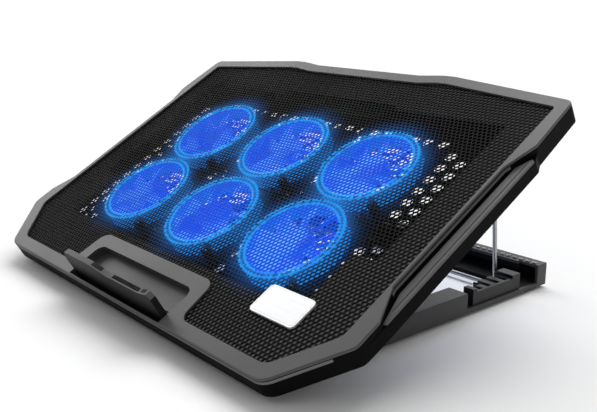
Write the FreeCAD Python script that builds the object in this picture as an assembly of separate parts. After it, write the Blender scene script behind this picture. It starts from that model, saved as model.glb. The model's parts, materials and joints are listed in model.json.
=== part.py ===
import FreeCAD, Part
import math
import os

# Laptop cooling pad: a tilting deck with six lit fans on a low base frame.
# Millimetres, +Z up. The origin is at the middle of the footprint, on the
# surface that the pad stands on. X runs across the pad, +Y points to its rear.
# Deck pieces are drawn on the closed deck (x across, y from its front edge,
# z from its top face) and then tilted as one about the hinge.

# ---- driving dimensions -------------------------------------------------
TILT = 29.66                # opening angle of the deck at rest, degrees
HINGE_Y = 33.4              # hinge axis behind the deck's front edge, in plan
HINGE_Z = 17.5              # hinge axis above the table
HINGE_DECK_Y = 31.8         # hinge axis along the deck from its front edge
HINGE_DECK_Z = -17.0        # hinge axis below the deck's top face
MIDDLE_Y = 132.8276          # middle of the whole pad's depth, from the same zero as HINGE_Y

DECK_THICK = 14.0
BEZEL_THICK = 1.6
SHEET_THICK = 0.8
FLOOR_THICK = 1.4
WALL = 2.0
NOTCH_X = 185.6             # half-width of the bezel beside the rails
RAIL_X = 196.3              # half-width of the deck at its rails
RAIL_TOP = -4.0
SHELF_Z = -5.6              # shelf of the shell that the rails sit on
LEDGE_THICK = 1.4
SHEET_LAP = 2.4             # how far the sheet runs under the bezel

RECESS_X = 60.3             # half-width of the stopper recess
RECESS_REAR = 31.4
RECESS_CORNER = 7.0
LIP = 1.2                   # front lip of the deck in front of the stopper
RECESS_DEPTH = 6.4
TRAY_WALL = 1.2
SLOT_REAR = 13.0            # deep slot at the tray's front for the stopper's tail
SLOT_DEPTH = 10.9

FLAP_X = 59.3               # half-width of the stopper
FLAP_AXIS_Y = 8.1
FLAP_AXIS_Z = -3.5
FLAP_FACE = 3.2             # stopper's face in front of its axis when raised
FLAP_DEPTH = 4.5
FLAP_SKIN = 1.4
FLAP_PIN_R = 1.0
FLAP_TAIL = 5.8             # how far its face runs on below the axis
FLAP_TOP = 21.6             # height of the raised stopper above its axis
FLAP_DIP = 2.6              # how far its middle edge is lower
FLAP_BARREL_R = 2.6
EAR_LEFT = (-17.0, 4.0)     # left ear: where its ramp starts and ends
EAR_RIGHT = (44.0, 55.0)    # right ear: where its ramp starts and ends
PAD_THICK = 2.2

FAN_X = (-88.7, 0.0, 88.7)
FAN_Y = (94.3, 170.4)
FAN_SIZE = 72.5
FAN_TOP = -3.2
FAN_BOTTOM = -12.6
FAN_BORE_R = 32.6
FAN_HOLE = 31.8             # fixing holes from the fan's middle, each way
FAN_HOLE_R = 1.7
FAN_POST_R = 3.4
SCREW_R = 1.5
SCREW_HEAD_R = 2.4
SCREW_HEAD = 0.6
RING_R = 35.0
RING_DEPTH = 5.8
ROTOR_R = 31.6
HUB_R = 13.5
BLADES = 9
ROTOR_Z = -7.2              # middle height of the blades
BLADE_THICK = 1.0
SHAFT_R = 1.45
STATOR_R = 5.5

VENT_R = 4.6                # round vents in the shell's floor
VENT_COLUMNS = (-153.0, -142.0, -131.0, -44.35, 44.35, 131.0, 142.0, 153.0)
VENT_PITCH = 12.0
VENT_ROWS = (50.6, 214.2)   # rows of vents in front of and behind the fans
VENT_ROW_PITCH = 13.0
GUARD_RINGS = (12.0, 19.0, 26.0)
GUARD_BAR = 0.8             # half-width of the finger guard's bars

BADGE = (39.5, 22.0, 131.0, 46.5)   # width, depth, middle x, middle y

STAY_R = 1.6                # wire of the folding stay
STAY_X = 131.4              # half-width of the stay between wire centres
STAY_PIVOT_Y = 253.3        # along the deck
STAY_PIVOT_Z = -16.0
STAY_LENGTH = 124.6
STAY_LEAN = 24.05           # forward lean from the deck's normal at rest
STAY_BEND = 6.0
STAY_HOOK = 8.0             # length of the wire's ends that turn inward
STAY_HOOK_BEND = 3.0
CLIP_SIZE = (4.8, 8.0)      # width and depth of the saddles that hold the stay

ARM_X = 150.5               # half-width of the base
ARM_IN = 133.6
BASE_FRONT = 12.0
BASE_REAR = 273.0
BASE_LOW = 2.0
ARM_TOP = 16.5
BLOCK_REAR = 182.0
WINDOW_REAR = 262.0
SILL_TOP = 5.0
REAR_TOP = 18.5
REAR_BAR_FRONT = 260.0
REAR_LIP_FRONT = 246.0
FRONT_BAR_TOP = 10.0
FRONT_BAR_REAR = 42.0
BASE_WALL = 2.0
REAR_WALL = 2.2
ARM_CELLS = 5               # shallow pockets under each arm
ARM_CELL_PITCH = 30.0
ARM_CELL_LENGTH = 28.0
ARM_CELL_DEPTH = 2.5
GRIP_SLOTS = 53             # small oval slots along the rear bar
GRIP_PITCH = 5.6
GRIP_Y = 263.7
GRIP_R = 0.9
FOOT_SIZE = (12.0, 18.0)

HINGE_X = 110.0             # middle of each hinge
KNUCKLE_R = 2.6
HINGE_PIN_R = 1.2
PIN_CLEARANCE = 0.05
LUG_WIDTH = 6.4             # deck's part of a hinge
KNUCKLE_WIDTH = 3.5         # each of the base's two parts of a hinge
KNUCKLE_GAP = 3.5           # from the hinge's middle to a knuckle

RACK_X = (134.2, 148.6)
RACK_Y = (190.0, 243.0)
RACK_STEP = (140.0, 208.0)    # the rack is narrower up to here: inner side, rear end
RACK_TOP = 14.4
RACK_END = 2.4              # how much higher the rack's two ends are
NOTCHES = 4
NOTCH_PITCH = 9.5
NOTCH_WIDTH = 4.2
NOTCH_DEPTH = 3.6

SOCKET_X = (-34.0, -14.0)   # two USB sockets
DIAL_X = 12.0               # speed dial
DIAL_Y = 264.2
DIAL_R = 8.6
DIAL_RIBS = 24
BUTTON_X = 34.0             # light button
BUTTON_PROUD = 1.4
REAR_WALL_Y = 270.7         # outer face of the deck's rear wall in the middle
BOARD = (-46.0, 44.0, 226.0, 255.0)
BOARD_Z = -11.4
BOARD_THICK = 1.2
LEAD_R = 1.0                # bundle of the fans' leads
LEAD_X = 43.35
LEAD_Z = -11.2

VEC = FreeCAD.Vector
X_AXIS = VEC(1, 0, 0)
Z_AXIS = VEC(0, 0, 1)


# ---- helpers ------------------------------------------------------------
def box(x0, x1, y0, y1, z0, z1):
    return Part.makeBox(x1 - x0, y1 - y0, z1 - z0, VEC(x0, y0, z0))


def cylinder(radius, z0, z1, x=0.0, y=0.0):
    return Part.makeCylinder(radius, z1 - z0, VEC(x, y, z0))


def rod_x(radius, x0, x1, y, z):
    return Part.makeCylinder(radius, x1 - x0, VEC(x0, y, z), X_AXIS)


def ring(outer, inner, z0, z1, x=0.0, y=0.0):
    return cylinder(outer, z0, z1, x, y).cut(cylinder(inner, z0 - 1, z1 + 1, x, y))


def fuse(shapes):
    whole = shapes[0].multiFuse(shapes[1:]) if len(shapes) > 1 else shapes[0]
    return whole.removeSplitter()


def rounded_wire(points):
    """Closed outline in XY through (x, y, radius) corners, rounded by tangent arcs."""
    edges = []
    count = len(points)
    ends = []
    for i in range(count):
        corner = VEC(points[i][0], points[i][1], 0)
        before = VEC(points[i - 1][0], points[i - 1][1], 0)
        after = VEC(points[(i + 1) % count][0], points[(i + 1) % count][1], 0)
        to_before = (before - corner).normalize()
        to_after = (after - corner).normalize()
        radius = points[i][2]
        turn = math.pi - to_before.getAngle(to_after)
        if radius == 0 or turn < 1e-3:
            ends.append((corner, corner, corner))
            continue
        cut = radius * math.tan(turn / 2)
        bulge = radius / math.cos(turn / 2) - radius
        inward = (to_before + to_after).normalize()
        ends.append((corner + to_before * cut, corner + inward * bulge, corner + to_after * cut))
    for i in range(count):
        start, middle, end = ends[i]
        if start.distanceToPoint(end) > 1e-6:
            edges.append(Part.Arc(start, middle, end).toShape())
        following = ends[(i + 1) % count][0]
        if end.distanceToPoint(following) > 1e-6:
            edges.append(Part.LineSegment(end, following).toShape())
    return Part.Wire(edges)


def slab(points, z0, z1):
    """Solid between two levels from an outline of (x, y, radius) corners."""
    face = Part.Face(rounded_wire(points))
    solid = face.extrude(VEC(0, 0, z1 - z0))
    solid.translate(VEC(0, 0, z0))
    return solid


def both_sides(half):
    """Whole outline from its right half, listed from the front to the rear."""
    return half + [(-x, y, r) for x, y, r in reversed(half)]


def mirrored(shape):
    return shape.mirror(VEC(0, 0, 0), X_AXIS)


def on_deck(shape):
    """Moves a piece drawn on the flat deck to its place on the tilted deck."""
    moved = shape.copy()
    moved.translate(VEC(0, -HINGE_DECK_Y, -HINGE_DECK_Z))
    moved.rotate(VEC(0, 0, 0), X_AXIS, TILT)
    moved.translate(VEC(0, HINGE_Y - MIDDLE_Y, HINGE_Z))
    return moved


def on_base(shape):
    moved = shape.copy()
    moved.translate(VEC(0, -MIDDLE_Y, 0))
    return moved


# ---- deck outlines ------------------------------------------------------
BEZEL_OUTLINE = both_sides([
    (161.5, 0, 14), (195.8, 41.5, 8), (195.8, 60, 3), (NOTCH_X, 84, 6),
    (NOTCH_X, 190, 6), (193.4, 214, 6), (190.8, 261, 6), (88, 273.5, 4),
    (77, 273.5, 4), (56, 270.7, 4)])

SHELL_OUTLINE = both_sides([
    (161.5, 0, 14), (195.8, 41.5, 8), (RAIL_X, 62, 0), (RAIL_X, 206, 2),
    (193.4, 212, 3), (190.8, 261, 6), (88, 273.5, 4), (77, 273.5, 4), (56, 270.7, 4)])

SHEET_WINDOW = both_sides([
    (69.8, 42.2, 9), (73, 10.2, 7), (155, 10.2, 12), (183.2, 44, 8),
    (182.6, 252.6, 3), (87, 263.7, 4), (78, 263.7, 4), (60, 261.2, 4)])

LEDGE_WINDOW = both_sides([
    (141, 50, 2), (141, 98, 2), (160, 98, 2), (160, 231, 2), (62, 231, 2), (62, 236, 2)])


def grown(points, by):
    wire = rounded_wire(points)
    return Part.Face(wire.makeOffset2D(by))


def grown_slab(points, by, z0, z1):
    solid = grown(points, by).extrude(VEC(0, 0, z1 - z0))
    solid.translate(VEC(0, 0, z0))
    return solid


# ---- deck pieces --------------------------------------------------------
def top_bezel():
    plate = slab(BEZEL_OUTLINE, -BEZEL_THICK, 0)
    rim = [e for e in plate.Edges if abs(e.BoundBox.ZMin) < 1e-6 and abs(e.BoundBox.ZMax) < 1e-6]
    plate = plate.makeChamfer(0.6, rim)
    plate = plate.cut(slab(SHEET_WINDOW, -BEZEL_THICK - 1, 1))
    opening = slab(recess_outline(0), -BEZEL_THICK - 1, 1)
    return plate.cut(opening)


def recess_outline(grow):
    side = RECESS_X + grow
    return both_sides([(side, LIP - grow, 0), (side, RECESS_REAR + grow, RECESS_CORNER + grow)])


def mesh_sheet():
    top = -BEZEL_THICK
    sheet = grown_slab(SHEET_WINDOW, SHEET_LAP - 0.8, top - SHEET_THICK, top)
    return sheet


def shell_floor_vents():
    """Round vents between and around the fans."""
    middle = (FAN_Y[0] + FAN_Y[1]) / 2
    places = []
    for x in VENT_COLUMNS:
        shift = VENT_PITCH / 2 if abs(x) == 142.0 else 0.0
        places += [(x, middle + VENT_PITCH * step - shift) for step in range(-6, 7)]
    for y in VENT_ROWS:
        places += [(VENT_ROW_PITCH * step, y) for step in range(-9, 10)]
    for x in (-54.35, -34.35, 34.35, 54.35):
        places.append((x, middle))
    return [cylinder(VENT_R, -15, -12, x, y) for x, y in places]


def fan_guard(x, y):
    """Finger guard moulded into the floor under one fan."""
    low = -DECK_THICK
    high = low + FLOOR_THICK
    bars = [ring(r + GUARD_BAR, r - GUARD_BAR, low, high, x, y) for r in GUARD_RINGS]
    for i in range(3):
        bar = box(-33.5, 33.5, -GUARD_BAR, GUARD_BAR, low, high)
        bar.rotate(VEC(0, 0, 0), Z_AXIS, 60 * i + 15)
        bar.translate(VEC(x, y, 0))
        bars.append(bar)
    bars.append(cylinder(6.0, low, high, x, y))
    return bars


def bottom_shell():
    low = -DECK_THICK
    floor_top = low + FLOOR_THICK
    outside = slab(SHELL_OUTLINE, low, SHELF_Z)
    neck = slab(BEZEL_OUTLINE, SHELF_Z - 0.5, -BEZEL_THICK)
    body = fuse([outside, neck])
    body = body.cut(grown_slab(SHELL_OUTLINE, -WALL, floor_top, SHELF_Z - LEDGE_THICK))
    ledge_low = -BEZEL_THICK - SHEET_THICK - LEDGE_THICK
    body = body.cut(grown_slab(BEZEL_OUTLINE, -WALL, floor_top, ledge_low))
    body = body.cut(grown_slab(SHEET_WINDOW, SHEET_LAP - 0.6, -BEZEL_THICK - SHEET_THICK, 1))
    body = body.cut(slab(LEDGE_WINDOW, floor_top, 1))
    cutters = [cylinder(33.0, low - 1, floor_top + 0.2, x, y) for x in FAN_X for y in FAN_Y]
    cutters += shell_floor_vents()
    cutters.append(box(-RECESS_X - 2, RECESS_X + 2, LIP, RECESS_REAR + 2, floor_top + 2, 1))
    cutters.append(box(-RECESS_X - 2, RECESS_X + 2, LIP, SLOT_REAR + 2, floor_top + 0.3, 1))
    for x in SOCKET_X:
        cutters.append(box(x - 7.4, x + 7.4, 262, 272, -12.2, -5.0))
    slot = DIAL_R + 0.8
    cutters.append(box(DIAL_X - slot, DIAL_X + slot, 255, 272, -11.6, -7.4))
    cutters.append(box(BUTTON_X - 5.2, BUTTON_X + 5.2, 262, 272, -12.0, -6.8))
    for cutter in cutters:
        body = body.cut(cutter)
    guards = [bar for x in FAN_X for y in FAN_Y for bar in fan_guard(x, y)]
    lugs = [deck_lug(side * HINGE_X) for side in (-1, 1)]
    return fuse([body] + guards + lugs)


def deck_lug(x):
    """Hinge lug under the shell, with the bore for the hinge pin."""
    x0 = x - LUG_WIDTH / 2
    x1 = x + LUG_WIDTH / 2
    barrel = rod_x(KNUCKLE_R, x0, x1, HINGE_DECK_Y, HINGE_DECK_Z)
    neck = box(x0, x1, HINGE_DECK_Y - KNUCKLE_R, HINGE_DECK_Y + KNUCKLE_R,
               HINGE_DECK_Z, -DECK_THICK + 0.2)
    bore = rod_x(HINGE_PIN_R + PIN_CLEARANCE, x0 - 1, x1 + 1, HINGE_DECK_Y, HINGE_DECK_Z)
    return fuse([barrel, neck]).cut(bore)


def side_rail():
    """Right-hand grip rail along the deck's side."""
    outline = [(RAIL_X - 1.6, 62.5, 0), (RAIL_X, 63.5, 0), (RAIL_X, 205, 0.5),
               (194.2, 205.5, 0.5), (188.8, 196, 4), (188.8, 84, 6)]
    rail = slab(outline, SHELF_Z, RAIL_TOP)
    groove = box(193.6, 194.0, 72, 203, RAIL_TOP - 0.5, RAIL_TOP + 1)
    return rail.cut(groove)


def recess_tray():
    """Shallow tray that the stopper folds into."""
    outer = slab(recess_outline(TRAY_WALL), -RECESS_DEPTH - TRAY_WALL, -BEZEL_THICK)
    outer = outer.cut(box(-70, 70, -5, LIP, -20, 5))
    side = RECESS_X + TRAY_WALL
    slot = box(-side, side, LIP, SLOT_REAR + TRAY_WALL, -SLOT_DEPTH - TRAY_WALL, -RECESS_DEPTH)
    tray = outer.fuse(slot).cut(slab(recess_outline(0), -RECESS_DEPTH, 1))
    tray = tray.cut(box(-RECESS_X, RECESS_X, LIP - 1, SLOT_REAR, -SLOT_DEPTH, 0))
    pins = rod_x(FLAP_PIN_R, -70, 70, FLAP_AXIS_Y, FLAP_AXIS_Z)
    return tray.cut(pins)


def flap_profile():
    """Front view of the raised stopper as a solid block."""
    top = FLAP_AXIS_Z + FLAP_TOP
    dip = top - FLAP_DIP
    low = FLAP_AXIS_Z - FLAP_TAIL
    points = [(-FLAP_X, low, 0.8), (FLAP_X, low, 0.8), (FLAP_X, top - 3.2, 1),
              (FLAP_X - 3.2, top, 0.4), (EAR_RIGHT[1], top, 0), (EAR_RIGHT[0], dip, 0),
              (EAR_LEFT[1] + 6, dip, 0), (EAR_LEFT[1], dip - 0.8, 0), (EAR_LEFT[0], top, 0),
              (-FLAP_X + 5, top, 1), (-FLAP_X, top - 7, 1)]
    block = slab(points, 0, FLAP_DEPTH)
    block.rotate(VEC(0, 0, 0), X_AXIS, 90)
    block.translate(VEC(0, FLAP_AXIS_Y - FLAP_FACE + FLAP_DEPTH, 0))
    return block


def pad_box(x0, x1, z0, z1):
    """Rubber pad set into the ramp of an ear, as a slanted bar."""
    front = FLAP_AXIS_Y - FLAP_FACE + FLAP_SKIN
    points = [(x0, z0, 0), (x1, z1, 0), (x1, z1 - PAD_THICK, 0), (x0, z0 - PAD_THICK, 0)]
    bar = slab(points, 0, FLAP_DEPTH - FLAP_SKIN)
    bar.rotate(VEC(0, 0, 0), X_AXIS, 90)
    bar.translate(VEC(0, front + FLAP_DEPTH - FLAP_SKIN, 0))
    return bar


def pad_places():
    top = FLAP_AXIS_Z + FLAP_TOP
    slope_left = (FLAP_DIP + 0.8) / (EAR_LEFT[1] - EAR_LEFT[0])
    slope_right = FLAP_DIP / (EAR_RIGHT[1] - EAR_RIGHT[0])
    left = (-16.0, -4.0, top - slope_left * 1.0, top - slope_left * 13.0)
    right = (46.5, 53.5, top - slope_right * 8.5, top - slope_right * 1.5)
    return [left, right]


def stopper_flap():
    block = flap_profile()
    face = FLAP_AXIS_Y - FLAP_FACE
    top = FLAP_AXIS_Z + FLAP_TOP
    hollow = box(-FLAP_X + 1.6, FLAP_X - 1.6, face + FLAP_SKIN, face + FLAP_DEPTH + 1,
                 FLAP_AXIS_Z + 3.4, top - FLAP_DIP - 4.0)
    trough = box(EAR_LEFT[1] + 6.2, EAR_RIGHT[0] - 0.2, face + FLAP_SKIN, face + FLAP_DEPTH + 1,
                 top - FLAP_DIP - 5.0, top + 1)
    block = block.cut(hollow).cut(trough)
    for place in pad_places():
        block = block.cut(pad_box(*place))
    barrel = rod_x(FLAP_BARREL_R, -FLAP_X, FLAP_X, FLAP_AXIS_Y, FLAP_AXIS_Z)
    block = fuse([block, barrel])
    return block.cut(rod_x(FLAP_PIN_R + PIN_CLEARANCE, -70, 70, FLAP_AXIS_Y, FLAP_AXIS_Z))


def flap_pads():
    return Part.makeCompound([pad_box(*place) for place in pad_places()])


def flap_pins():
    right = rod_x(FLAP_PIN_R, FLAP_X - 6, RECESS_X + TRAY_WALL, FLAP_AXIS_Y, FLAP_AXIS_Z)
    return Part.makeCompound([right, mirrored(right)])


def badge_plate():
    width, depth, x, y = BADGE
    plate = slab([(x - width / 2, y - depth / 2, 3.5), (x + width / 2, y - depth / 2, 3.5),
                  (x + width / 2, y + depth / 2, 3.5), (x - width / 2, y + depth / 2, 3.5)],
                 -BEZEL_THICK, -0.2)
    rim = [e for e in plate.Edges if abs(e.BoundBox.ZMin + 0.2) < 1e-6]
    return plate.makeChamfer(0.4, rim)


# ---- fans ---------------------------------------------------------------
def fan_frame(x, y):
    """Round fan housing with a screw post at each of its four corners."""
    frame = cylinder(FAN_SIZE / 2, FAN_BOTTOM, FAN_TOP)
    corners = [(sx * FAN_HOLE, sy * FAN_HOLE) for sx in (-1, 1) for sy in (-1, 1)]
    for corner in corners:
        web = box(FAN_BORE_R + 1, FAN_HOLE * math.sqrt(2), -1.5, 1.5, FAN_BOTTOM, FAN_TOP)
        web.rotate(VEC(0, 0, 0), Z_AXIS, math.degrees(math.atan2(corner[1], corner[0])))
        frame = fuse([frame, web, cylinder(FAN_POST_R, FAN_BOTTOM, FAN_TOP, *corner)])
    frame = frame.cut(cylinder(FAN_BORE_R, -20, 5))
    frame = frame.cut(cylinder(RING_R, FAN_TOP - RING_DEPTH, 5))
    for corner in corners:
        frame = frame.cut(cylinder(FAN_HOLE_R, -20, 5, *corner))
    seat = [cylinder(12.0, FAN_BOTTOM, FAN_BOTTOM + 1.2), cylinder(STATOR_R, FAN_BOTTOM, -6.6)]
    for i in range(4):
        strut = box(8, FAN_BORE_R + 0.6, -1.6, 1.6, FAN_BOTTOM, FAN_BOTTOM + 1.2)
        strut.rotate(VEC(0, 0, 0), Z_AXIS, 90 * i + 30)
        seat.append(strut)
    frame = fuse([frame] + seat)
    frame = frame.cut(cylinder(SHAFT_R + PIN_CLEARANCE, FAN_BOTTOM + 0.8, 5))
    frame.translate(VEC(x, y, 0))
    return frame


def led_ring(x, y):
    return ring(RING_R, FAN_BORE_R, FAN_TOP - RING_DEPTH, FAN_TOP + 0.6, x, y)


def blade_section(radius, chord, pitch):
    """Thin upright rectangle of a blade at one radius."""
    half = chord / 2
    thick = BLADE_THICK / 2
    corners = [(-half, -thick), (half, -thick), (half, thick), (-half, thick), (-half, -thick)]
    turn = math.radians(pitch)
    points = []
    for along, across in corners:
        side = along * math.cos(turn) - across * math.sin(turn)
        height = along * math.sin(turn) + across * math.cos(turn)
        points.append(VEC(radius, side, ROTOR_Z + height))
    return Part.makePolygon(points)


def rotor(x, y):
    hub_top = -4.4
    cup = cylinder(HUB_R, -10.6, hub_top).cut(cylinder(HUB_R - 1.2, -11, hub_top - 1.2))
    pieces = [cup, cylinder(SHAFT_R, -11.2, hub_top - 1)]
    root = blade_section(HUB_R - 0.6, 10.0, 33)
    tip = blade_section(ROTOR_R - 0.4, 15.5, 22)
    blade = Part.makeLoft([root, tip], True, True)
    for i in range(BLADES):
        turned = blade.copy()
        turned.rotate(VEC(0, 0, 0), Z_AXIS, 360.0 / BLADES * i)
        pieces.append(turned)
    fan = fuse(pieces)
    fan.translate(VEC(x, y, 0))
    return fan


def fan_screws():
    """Four small screws in each fan frame, heads on top."""
    screws = []
    for x in FAN_X:
        for y in FAN_Y:
            for sx in (-1, 1):
                for sy in (-1, 1):
                    at = (x + sx * FAN_HOLE, y + sy * FAN_HOLE)
                    shank = cylinder(SCREW_R, FAN_BOTTOM, FAN_TOP, *at)
                    head = cylinder(SCREW_HEAD_R, FAN_TOP, FAN_TOP + SCREW_HEAD, *at)
                    screws.append(fuse([shank, head]))
    return Part.makeCompound(screws)


# ---- electrics at the rear ---------------------------------------------
def control_board():
    x0, x1, y0, y1 = BOARD
    board = box(x0, x1, y0, y1, BOARD_Z, BOARD_Z + BOARD_THICK)
    chip = box(6, 15, 232, 241, BOARD_Z + BOARD_THICK, BOARD_Z + BOARD_THICK + 1.4)
    header = box(-30, -16, 229, 234, BOARD_Z + BOARD_THICK, BOARD_Z + BOARD_THICK + 4)
    posts = [cylinder(1.6, FAN_BOTTOM, BOARD_Z, x, y)
             for x in (x0 + 4, x1 - 4) for y in (y0 + 4, y1 - 4)]
    return fuse([board, chip, header] + posts)


def usb_socket(x):
    shell = box(x - 7.2, x + 7.2, 256.6, REAR_WALL_Y - 0.4, -12.0, -5.2)
    hollow = box(x - 6.3, x + 6.3, 258.0, REAR_WALL_Y + 1, -11.1, -6.1)
    tongue = box(x - 5.4, x + 5.4, 257.8, REAR_WALL_Y - 2, -7.3, -6.1)
    return fuse([shell.cut(hollow), tongue])


def speed_dial():
    wheel = cylinder(DIAL_R, -11.0, -8.0, DIAL_X, DIAL_Y)
    for i in range(DIAL_RIBS):
        turn = 2 * math.pi * i / DIAL_RIBS
        x = DIAL_X + (DIAL_R + 0.1) * math.cos(turn)
        y = DIAL_Y + (DIAL_R + 0.1) * math.sin(turn)
        wheel = wheel.cut(cylinder(0.5, -12, -7, x, y))
    return wheel.cut(cylinder(1.5, -12, -7, DIAL_X, DIAL_Y))


def dial_post():
    return cylinder(1.4, FAN_BOTTOM, -7.0, DIAL_X, DIAL_Y)


def light_button():
    proud = REAR_WALL_Y + BUTTON_PROUD
    inside = REAR_WALL_Y - WALL - 0.2
    cap = box(BUTTON_X - 4.8, BUTTON_X + 4.8, inside - 1, proud, -11.6, -7.2)
    rim = [e for e in cap.Edges if e.BoundBox.YMin > proud - 0.1]
    cap = cap.makeChamfer(0.5, rim)
    flange = box(BUTTON_X - 6.4, BUTTON_X + 6.4, inside - 1, inside, -11.6, -7.2)
    return fuse([cap, flange])


def fan_leads():
    """Bundle of fan leads between the rows, with one branch up to the board."""
    y = (FAN_Y[0] + FAN_Y[1]) / 2
    bundle = rod_x(LEAD_R, FAN_X[0], LEAD_X, y, LEAD_Z)
    branch_r = LEAD_R + 0.2
    start = VEC(LEAD_X, y - branch_r, LEAD_Z)
    branch = Part.makeCylinder(branch_r, BOARD[2] - 0.4 - start.y, start, VEC(0, 1, 0))
    return fuse([bundle, branch])


# ---- stay ---------------------------------------------------------------
def stay_wire():
    """Wire stay drawn upright under its pivot, then leaned forward."""
    top = STAY_PIVOT_Z
    low = top - STAY_LENGTH
    inner = STAY_X - STAY_BEND
    low_bend = low + STAY_BEND
    diagonal = STAY_BEND * math.sqrt(0.5)
    end = STAY_X - STAY_HOOK
    turn = STAY_X - STAY_HOOK_BEND
    turn_low = top - STAY_HOOK_BEND
    turn_diagonal = STAY_HOOK_BEND * math.sqrt(0.5)
    right = [
        Part.LineSegment(VEC(end, 0, top), VEC(turn, 0, top)).toShape(),
        Part.Arc(VEC(turn, 0, top), VEC(turn + turn_diagonal, 0, turn_low + turn_diagonal),
                 VEC(STAY_X, 0, turn_low)).toShape(),
        Part.LineSegment(VEC(STAY_X, 0, turn_low), VEC(STAY_X, 0, low_bend)).toShape(),
        Part.Arc(VEC(STAY_X, 0, low_bend), VEC(inner + diagonal, 0, low_bend - diagonal),
                 VEC(inner, 0, low)).toShape(),
        Part.LineSegment(VEC(inner, 0, low), VEC(0, 0, low)).toShape(),
    ]
    path = Part.Wire(right)
    circle = Part.Wire(Part.makeCircle(STAY_R, VEC(end, 0, top), X_AXIS))
    half = path.makePipeShell([circle], True, False)
    wire = fuse([half, mirrored(half)])
    wire.rotate(VEC(0, 0, top), X_AXIS, -STAY_LEAN)
    wire.translate(VEC(0, STAY_PIVOT_Y, 0))
    return wire


def stay_clips():
    """Two blocks under the deck with a blind hole each for an end of the stay."""
    width, depth = CLIP_SIZE
    x1 = STAY_X - 4.2
    x0 = x1 - width
    low = STAY_PIVOT_Z - 3.0
    y0 = STAY_PIVOT_Y - depth / 2
    saddle = box(x0, x1, y0, y0 + depth, low, -DECK_THICK)
    saddle = saddle.cut(rod_x(STAY_R + PIN_CLEARANCE, x0 + 0.8, x1 + 1, STAY_PIVOT_Y, STAY_PIVOT_Z))
    return Part.makeCompound([saddle, mirrored(saddle)])


# ---- base ---------------------------------------------------------------
def arm_section(y0, y1, z1):
    return box(ARM_IN, ARM_X, y0, y1, BASE_LOW, z1)


def base_arm():
    """Right arm: block with shallow pockets underneath, and a low sill behind it."""
    side = [(BASE_FRONT, BASE_LOW), (BLOCK_REAR, BASE_LOW), (BLOCK_REAR, ARM_TOP),
            (28.0, ARM_TOP), (BASE_FRONT, 7.6), (BASE_FRONT, BASE_LOW)]
    face = Part.Face(Part.makePolygon([VEC(ARM_IN, y, z) for y, z in side]))
    block = face.extrude(VEC(ARM_X - ARM_IN, 0, 0))
    long_edges = [e for e in block.Edges if abs(e.BoundBox.ZMin - ARM_TOP) < 1e-6
                  and abs(e.BoundBox.ZMax - ARM_TOP) < 1e-6 and e.BoundBox.YLength > 100]
    block = block.makeFillet(1.0, long_edges)
    pockets = []
    for i in range(ARM_CELLS):
        start = 32.0 + ARM_CELL_PITCH * i
        pockets.append(box(ARM_IN + BASE_WALL, ARM_X - BASE_WALL, start, start + ARM_CELL_LENGTH,
                           BASE_LOW - 1, BASE_LOW + ARM_CELL_DEPTH))
    for pocket in pockets:
        block = block.cut(pocket)
    sill = arm_section(BLOCK_REAR - 1, BASE_REAR, SILL_TOP)
    return [block, sill]


def rear_bar():
    """Channel section open to the front, with posts at both ends."""
    top_plate = box(-ARM_X, ARM_X, WINDOW_REAR, BASE_REAR, REAR_TOP - REAR_WALL, REAR_TOP)
    back = box(-ARM_X, ARM_X, BASE_REAR - REAR_WALL, BASE_REAR, BASE_LOW, REAR_TOP)
    floor = box(-ARM_X, ARM_X, REAR_LIP_FRONT, BASE_REAR, BASE_LOW, SILL_TOP)
    posts = []
    for side in (-1, 1):
        inner = side * (ARM_X - 2.4)
        outer = side * ARM_X
        posts.append(box(min(inner, outer), max(inner, outer), WINDOW_REAR, BASE_REAR,
                         BASE_LOW, REAR_TOP))
    for x in (-75.0, 0.0, 75.0):
        posts.append(box(x - 1, x + 1, REAR_BAR_FRONT + 5, BASE_REAR, BASE_LOW, REAR_TOP))
    front_lip = box(-ARM_IN - 1, ARM_IN + 1, REAR_BAR_FRONT, WINDOW_REAR, REAR_TOP - 6.5, REAR_TOP)
    return [top_plate, back, floor, front_lip] + posts


def grip_slots():
    """Row of small oval slots along the rear bar's top."""
    slots = []
    for i in range(GRIP_SLOTS):
        x = (i - (GRIP_SLOTS - 1) / 2) * GRIP_PITCH
        slots.append(box(x - GRIP_R, x + GRIP_R, GRIP_Y - GRIP_R, GRIP_Y + GRIP_R,
                         REAR_TOP - 1, REAR_TOP + 1))
        slots.append(cylinder(GRIP_R, REAR_TOP - 1, REAR_TOP + 1, x - GRIP_R, GRIP_Y))
        slots.append(cylinder(GRIP_R, REAR_TOP - 1, REAR_TOP + 1, x + GRIP_R, GRIP_Y))
    return slots


def base_knuckles(x):
    """Pair of knuckles on the front bar that carry one hinge pin."""
    pieces = []
    for x0 in (x - KNUCKLE_GAP - KNUCKLE_WIDTH, x + KNUCKLE_GAP):
        x1 = x0 + KNUCKLE_WIDTH
        post = box(x0, x1, HINGE_Y - KNUCKLE_R, HINGE_Y + KNUCKLE_R, FRONT_BAR_TOP - 1, HINGE_Z)
        barrel = rod_x(KNUCKLE_R, x0, x1, HINGE_Y, HINGE_Z)
        pieces.append(fuse([post, barrel]).cut(rod_x(HINGE_PIN_R, x0 - 1, x1 + 1, HINGE_Y, HINGE_Z)))
    return pieces


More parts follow.
